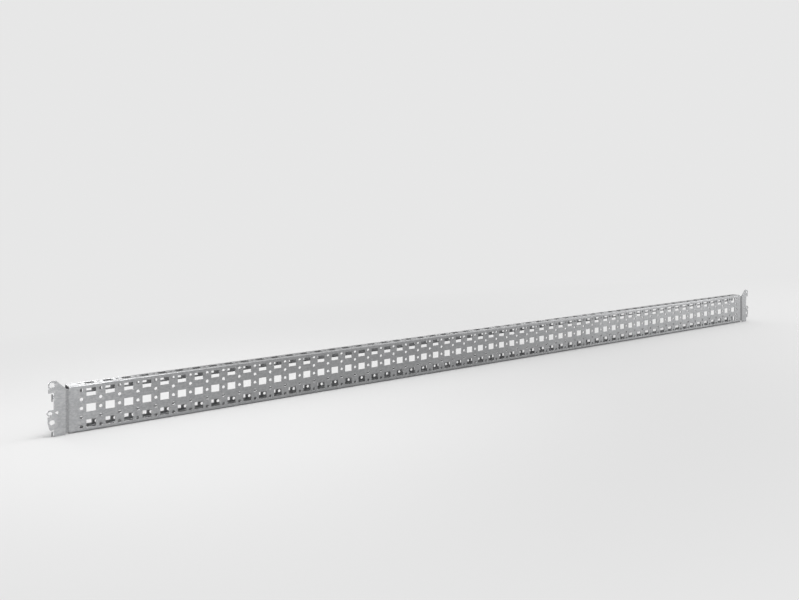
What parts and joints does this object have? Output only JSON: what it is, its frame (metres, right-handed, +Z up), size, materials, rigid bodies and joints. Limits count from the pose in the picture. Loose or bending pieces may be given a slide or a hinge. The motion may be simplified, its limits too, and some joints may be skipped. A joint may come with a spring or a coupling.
{
  "type": "punched enclosure rail with mounting flanges",
  "caption": "Folded sheet-steel C rail with a regular pattern of windows and round holes, and a stepped mounting flange with hooks at each end.",
  "frame": {"origin": "on the underside, in the middle of the rail's length and of the section's 23 mm depth", "axes": "+X along the rail, +Y from the punched front face to the open back, +Z up"},
  "size_m": [1.538, 0.025, 0.075],
  "materials": {
    "galvanised_steel": "galvanised, satin"
  },
  "bodies": {
    "root": {"punched_rail": "galvanised_steel"}
  },
  "joints": []
}
